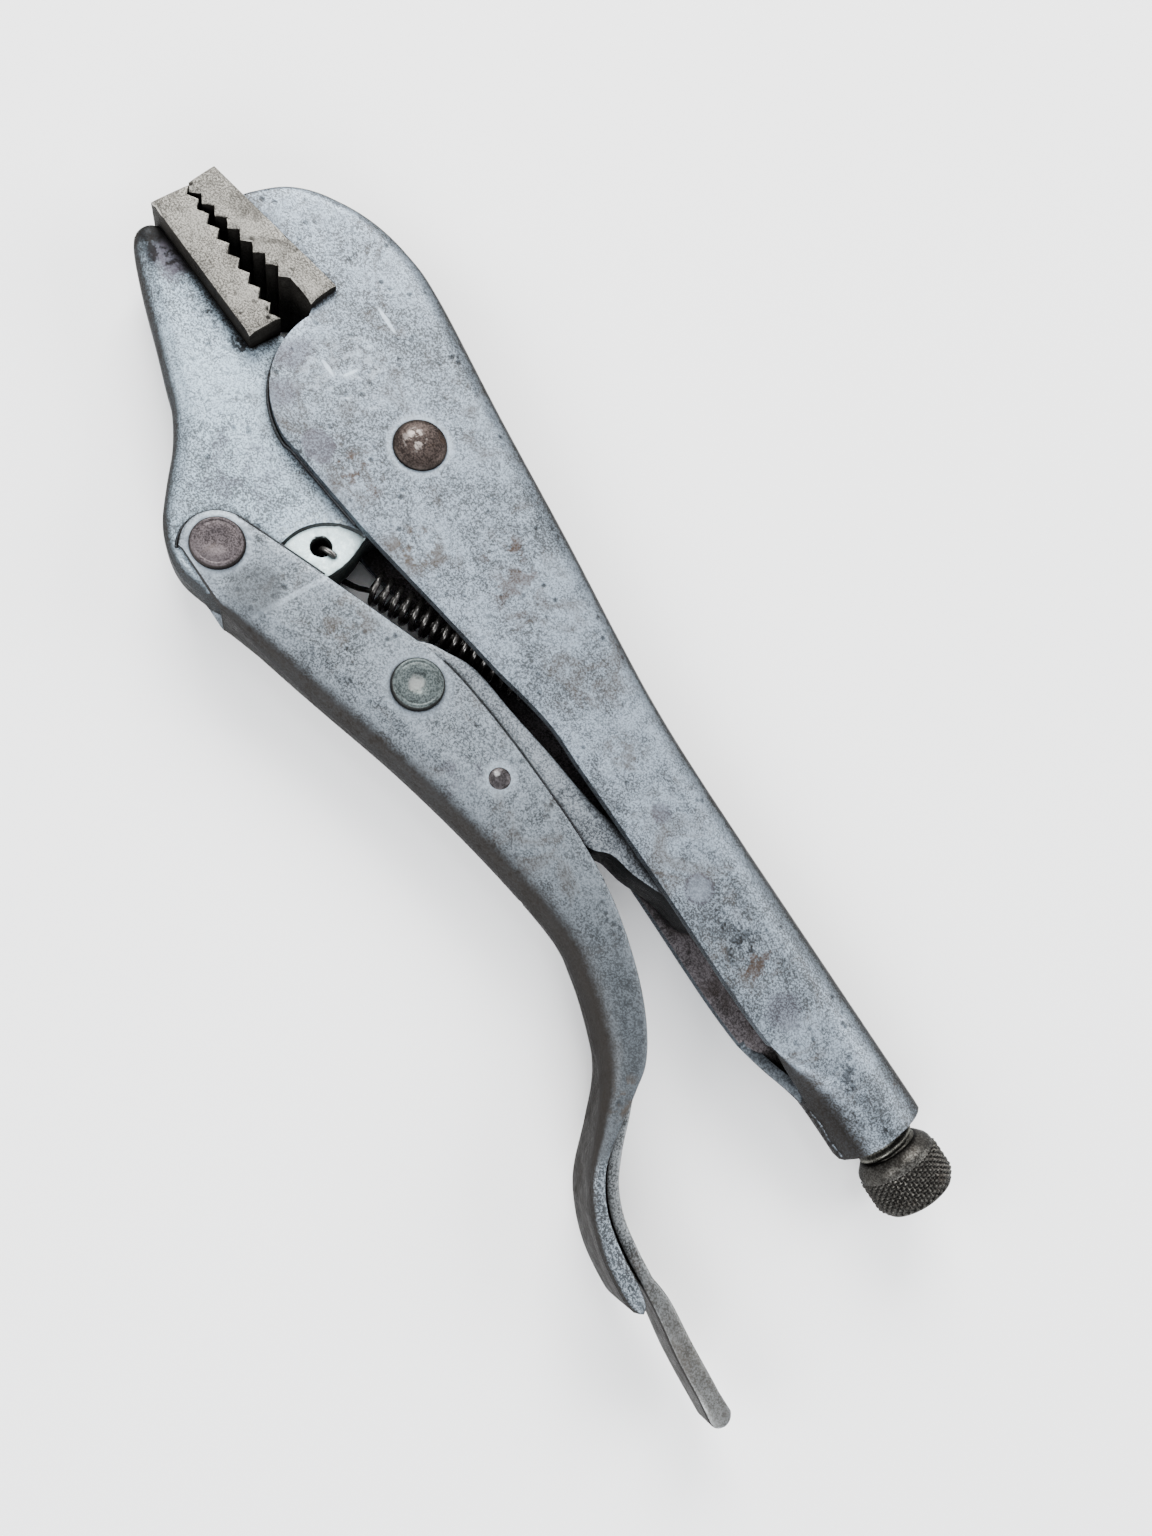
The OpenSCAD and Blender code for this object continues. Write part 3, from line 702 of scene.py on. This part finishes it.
# ---------------------------------------------------------------- lower jaw plate
edge = curve([(-66.4, -18.9), (-67.0, -21.2), (-66.2, -23.7), (-63.3, -25.7), (-56, -28.5), (-45, -32.0),
              (-37, -34.7), (-31, -36.7), (-24.5, -40.4), (-18, -45.6), (-12, -49.9), (-6.5, -52.1),
              (-1, -52.6), (4.5, -51)])
web = curve([(4.5, -51), (9, -47), (11, -40), (13, -33), (13.2, -27), (12, -22.5), (10, -17), (11.2, -6)])
top = arc((0, 0), 12, -25, 160) + [(-22, -6), (-34.4, -10.5), (-34.3, -17.2), (-66.4, -18.9)]
RECESS, RECESS_R, RECESS_RIM_R, RECESS_DEPTH = (14, -29.2), 10.9, 11.35, 0.8


class Recess:
    """The round recess in the jaw plate round the spring's hook hole."""
    points = np.array([(RECESS[0] + r * math.cos(a), RECESS[1] + r * math.sin(a))
                       for r in (RECESS_RIM_R, RECESS_R)
                       for a in np.linspace(0, 2 * math.pi, 90, endpoint=False)])

    def __call__(self, p):
        d = np.linalg.norm(p - RECESS, axis=1)
        return RECESS_DEPTH * (1 - smooth(d, RECESS_R, RECESS_RIM_R))


jaw = plate("jaw_plate", [(edge, by_x(edge, [-67, -60, -20, 5], [2.5, 4.2, 4.2, 3.0]), True),
                          (web, 0.4, True), ([web[-1]] + top, 0.5, True)], PLATE_HALF,
            holes=[bore(HOOK_HOLE, HOOK_HOLE_R)], dent=Recess(), rows=4)
finish(jaw, plate_mat, "lower_jaw", ["lower_jaw_plate"])

# ---------------------------------------------------------------- lower handle
spine = curve([(9.5, -50.3), (12.5, -49.3), (31, -44.6), (53, -38.3), (75, -33.5), (95, -30.7), (104, -31.7),
               (113, -34.3), (121, -37.8), (127.5, -43.5), (134, -50.3), (140, -54.1), (147, -56.6),
               (155, -57.6), (158, -57.2)])
rim = curve([(-3.8, -37.9), (13.2, -30.5), (32, -22.8), (40.4, -19.9), (52, -18.2), (66, -17.2), (83, -16.9),
             (96, -18.3), (108, -21.6), (117, -25.5), (123.6, -30.1), (127, -35), (132.2, -43.8),
             (135.6, -48), (141, -51.3), (147.5, -53), (155, -53.9), (158.4, -54.8)])
boss = arc(P1, 7.0, 240, 112, 20)
spine_round = by_x(spine, [9, 18, 32, 90, 118, 127, 136, 158], [2.0, 5.5, 7.0, 7.6, 7.0, 3.6, 1.6, 1.5])
handle = plate("lower_handle_skin", [
    (spine, spine_round, True),
    ([spine[-1], (158.9, -56), rim[-1]], 0, False),
    (rim[::-1], 0.8, False),
    (boss[::-1], 0.8, False),
    ([boss[0], spine[0]], [0.8, 1.5], False)], CHEEK_HALF, rows=5)
finish_sheet(handle, handle_mat, "lower_handle", ["lower_handle_channel"])

# dark beads where a cheek's edge lies on the jaw plate or the link: painted shadow of the gap, with grime
boss_edge = arc(P1, 7.5, 240, 115, 24) + [(x - 0.2, y + 0.5) for x, y in rim[1:] if x < 15]
link_edge = [(x - 0.2, y + 0.5) for x, y in rim if 39 < x < 84]
front_edge = arc((-13.5, -1.7), 20.7, 192, 270, 30) + [p for p in cheek if p[0] < 10]
for side, z in (("near", MID + 5.9), ("far", MID - 5.9)):
    for label, line, body in (("boss", boss_edge, "lower_handle"), ("link", link_edge, "lower_handle"),
                              ("cheek", front_edge, "upper_handle")):
        bead = sweep("%s_grime_%s" % (label, side), [(x, y, z) for x, y in line], 0.36, 8)
        finish(bead, line_mat, body, ())

# ---------------------------------------------------------------- toggle link, solid but slotted from below
link_top = curve([(37.7, -17.9), (41.5, -15.7), (46, -14.5), (54, -13.6), (66, -11.8), (76, -10.6),
                  (84, -8.8), (91, -5.4), (97, -0.4), (102, 1.6)])
link_low = curve([(106, -8), (101, -8.8), (94, -11.6), (88.5, -13), (84.5, -16.2), (76, -17.4),
                  (65, -17.8), (57, -20.4), (51, -26)])
link_outline = arc(P2, 9.8, 350, 120) + link_top + arc((106, -2.5), 5.5, 100, -80) + link_low
link = plate("link_body", [(link_outline + [link_outline[0]], 0.7, True)], PLATE_HALF, spacing=2.0)
under = [(x, y - SHEET) for x, y in link_top if 48 < x < 78]
cutter = plate("link_slot", [([(20, -17), (47, -17)] + under + [(78, -50), (20, -50), (20, -17)], 0, True)],
               3.0, spacing=6)
cut = link.modifiers.new("slot", "BOOLEAN")
cut.operation = "DIFFERENCE"
cut.object = cutter
cut.solver = "EXACT"
bpy.context.view_layer.update()
cut_mesh = bpy.data.meshes.new_from_object(link.evaluated_get(bpy.context.evaluated_depsgraph_get()))
link.modifiers.clear()
link.data = cut_mesh
link.data.set_sharp_from_angle(angle=math.radians(38))
bpy.data.objects.remove(cutter)
finish(link, link_mat, "toggle_link", ["toggle_link"])

# ---------------------------------------------------------------- release lever
strip = curve([(78, -23.8), (94, -24.2), (108, -26.8), (118, -30.3), (124.5, -34), (129.3, -38.6),
               (133.6, -43.4), (138.5, -47.7), (144.5, -50.4), (151.5, -51.6)])


def beside(line, d):
    """The open line moved sideways by d, to its left if d is positive."""
    t = tangents(line)
    return [tuple(q) for q in np.array(line, float) + d * np.column_stack([-t[:, 1], t[:, 0]])]


lever_outline = (arc(P4, 4.3, 110, 270) + beside(strip, -1.3)
                 + curve([(156, -53.2), (162.5, -53.9), (170, -55.1), (179, -55.9)])
                 + arc((183.2, -54), 2.3, -100, 70, 14)
                 + curve([(179.5, -51.9), (169.8, -51.2), (161.3, -50.3), (156, -50.7)])
                 + [q for q in beside(strip, 1.3) if q[0] > 84][::-1]
                 + [(79, -20.8), (76, -18.9), (73, -18.7), (69, -19.5)])
lever = plate("lever_strip", [(lever_outline + [lever_outline[0]], 0.6, True)],
              lambda x: 5.3 - 1.6 * smooth(x, 176, 186), spacing=1.8, rows=6)
finish(lever, lever_mat, "release_lever", ["release_lever"])


# ---------------------------------------------------------------- rivets and pin
def both_heads(profile_points, half_height):
    """Rings from the low head to the high one; the profile gives (depth below the top, radius)."""
    low = [(depth - half_height, r) for depth, r in profile_points]
    return low + [(-a, r) for a, r in low[::-1]]


DOME = [(0, 0.6), (0.05, 1.8), (0.2, 3.2), (0.5, 4.3), (0.85, 5.0), (1.2, 5.35), (1.7, 5.4)]
FLAT = [(0.22, 0.5), (0.2, 1.5), (0.1, 1.9), (0.0, 2.1), (0.02, 3.3), (0.08, 3.9), (0.16, 4.1),
        (0.04, 4.35), (0.08, 4.7), (0.35, 5.0), (0.8, 5.15), (1.7, 5.2)]
main_rivet = lathe("main_rivet", (*P0, MID), "z", both_heads(DOME, 10), 72)
finish(main_rivet, main_rivet_mat, "upper_handle", ["main_pivot_rivet"])
handle_rivet = lathe("handle_rivet", (*P1, MID), "z", both_heads(FLAT, 9.6), 72)
finish(handle_rivet, handle_rivet_mat, "lower_handle", ["jaw_handle_rivet"])
link_pin = lathe("link_rivet_body", (*P2, MID), "z", both_heads(FLAT, 9.9), 72)
finish(link_pin, link_rivet_mat, "lower_handle", ["link_rivet"])
PIN = [(0, 0.4), (0.05, 1.2), (0.25, 1.9), (0.55, 2.3), (0.9, 2.45)]
lever_pin = lathe("lever_pin", (*P4, MID), "z", both_heads(PIN, 8.75), 48)
finish(lever_pin, pin_mat, "lower_handle", ["release_lever_pin"])

# ---------------------------------------------------------------- tension spring
COIL_R, WIRE_R, COIL_PITCH, TURN_STEPS = 3.15, 0.6, 2.4, 20
coil_a, coil_b = np.array([17.6, -21.9]), np.array([73.5, 4.3])
axis = (coil_b - coil_a) / np.linalg.norm(coil_b - coil_a)
length = np.linalg.norm(coil_b - coil_a)
turns = round(length / COIL_PITCH) + 0.5
front_hook = [(10.7, -26.0, 15.1), (9.6, -26.4, 15.2), (8.6, -26.8, 14.9), (7.8, -27.1, 14.2),
              (*HOOK_HOLE, 13.0), (*HOOK_HOLE, 10), (*HOOK_HOLE, 6.4), (7.8, -27.05, 5.3), (8.6, -26.7, 4.7),
              (10.5, -25.8, 4.6), (12.6, -24.8, 4.6), (14.2, -24.0, 4.9), (15.7, -23.2, 5.5),
              (16.8, -22.4, 6.3)]
coil = []
steps = int(turns * TURN_STEPS)
for i in range(steps + 1):
    k = i / steps
    a = math.radians(-90 + 360 * turns * k)
    p = coil_a + axis * length * k
    side = COIL_R * math.cos(a)
    coil.append((p[0] - axis[1] * side, p[1] + axis[0] * side, MID + COIL_R * math.sin(a)))
rear_hook = [(75, 4.9, 12.7), (77.3, 6, 12.2), (78.6, 6.6, 12.1), (79.3, 6.85, 11.7), (*LUG_HOLE, 11),
             (*LUG_HOLE, 9), (79.3, 6.85, 8.2), (78.7, 6.6, 7.8)]
spring = sweep("spring_wire", front_hook + coil + rear_hook, WIRE_R, 9)
finish(spring, spring_mat, None, ["tension_spring"])
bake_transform(spring)

# ---------------------------------------------------------------- adjusting screw and knob
TIP, PITCH, THREAD_LENGTH, RING_STEP = 115.7, 2.0, 53.0, 0.22
THREAD_R, THREAD_DEPTH, GROOVE_DEPTH = 5.75, 0.4, 0.75      # mean radius, and depths to either side of it
thread_rings = [(0, 4.8)] + [(0.9 + RING_STEP * i, THREAD_R) for i in range(int(THREAD_LENGTH / RING_STEP))]


def thread(a, t, r):
    """A right-hand thread, with a groove for the retaining ring."""
    if a < 0.5:
        return 0
    if 2.7 < a < 4.9:
        return -GROOVE_DEPTH
    w = ((a / PITCH - t / (2 * math.pi)) % 1.0)
    return THREAD_DEPTH * math.cos(2 * math.pi * w)


screw = lathe("screw_thread", (TIP, SCREW_Y, MID), "x", thread_rings, 48, thread)
finish(screw, screw_mat, "adjusting_screw", ["adjusting_screw"])
ring = lathe("retaining_ring", (TIP + 3, SCREW_Y, MID), "x",
             [(0, 5.2), (0, 6.6), (0.25, 6.8), (1.35, 6.8), (1.6, 6.6), (1.6, 5.2)], 48, hollow=True)
finish(ring, screw_mat, "screw_ring", ["screw_retainer"])


def knurl(a, t, r):
    """Crossed grooves round the knob."""
    if r < 7.4 or not 3.2 < a < 10.6:
        return 0
    around = t * 32 / (2 * math.pi)
    k = max(abs(((around + a / 1.2) % 1) - 0.5), abs(((around - a / 1.2) % 1) - 0.5)) * 2
    return -0.7 * max(0.0, k - 0.2)


knob_rings = [(0, 5.9), (0, 6.3), (0.25, 6.7), (0.9, 7.3), (1.6, 7.9), (2.2, 8.15), (2.9, 8.2), (3.1, 8.2),
              (3.25, 8.5)]
knurled = [3.3 + 0.13 * i for i in range(57)]
knob_rings += [(a, 8.6 - 0.9 * float(smooth(a, 8.6, 10.6)) ** 1.5) for a in knurled]
knob_rings += [(10.95, 7.2), (11.25, 6.6), (11.4, 5.9), (11.3, 5.2), (11.2, 4.0), (11.2, 1.0)]
knob = lathe("knob", (TUBE_END + 4, SCREW_Y, MID), "x", knob_rings, 420, knurl)
finish(knob, knob_mat, "adjusting_screw", ["knurled_knob"])

# ---------------------------------------------------------------- camera
cam_data = bpy.data.cameras.new("camera")
cam_data.lens = 27.66
cam_data.sensor_width = 36
cam_data.clip_start = 0.01
cam = bpy.data.objects.new("camera", cam_data)
cam.rotation_euler = [math.radians(a) for a in (12.152, -13.353, 55.357)]
cam.location = (0.08077, -0.07966, 0.23496)
bpy.context.scene.collection.objects.link(cam)
bpy.context.scene.camera = cam

# ---------------------------------------------------------------- floor and light
bpy.ops.mesh.primitive_plane_add(size=6, location=(0.06, -0.015, -0.0002))
floor = bpy.context.object
floor.name = "floor"
f = Nodes("pale_floor")
f.bsdf.inputs["Base Color"].default_value = (0.95, 0.95, 0.95, 1)
f.bsdf.inputs["Roughness"].default_value = 0.9
f.bsdf.inputs["Specular IOR Level"].default_value = 0.1
floor.data.materials.append(f.mat)

world = bpy.data.worlds.new("studio")
bpy.context.scene.world = world
world.use_nodes = True
world.node_tree.nodes["Background"].inputs[0].default_value = (0.93, 0.96, 1.0, 1)
world.node_tree.nodes["Background"].inputs[1].default_value = 0.6


def area(name, place, target, size, power, colour=(1, 1, 1)):
    light = bpy.data.lights.new(name, "AREA")
    light.shape = "RECTANGLE"
    light.size, light.size_y = size
    light.energy = power
    light.color = colour
    ob = bpy.data.objects.new(name, light)
    ob.location = place
    ob.rotation_euler = (Vector(target) - Vector(place)).to_track_quat("-Z", "Y").to_euler()
    bpy.context.scene.collection.objects.link(ob)


LOOK = (0.06, -0.02, 0)
area("key", (-0.85, 0.55, 0.75), LOOK, (0.9, 0.6), 36, (1.0, 0.99, 0.97))
area("fill", (1.0, -0.6, 0.7), LOOK, (0.9, 0.6), 24, (0.95, 0.97, 1.0))
area("left", (-0.5, -0.95, 0.7), LOOK, (0.9, 0.6), 20)
area("right", (0.6, 0.95, 0.65), LOOK, (0.9, 0.6), 17)
area("overhead", (-0.15, 0.12, 1.1), LOOK, (0.35, 0.35), 3, (0.97, 0.98, 1.0))
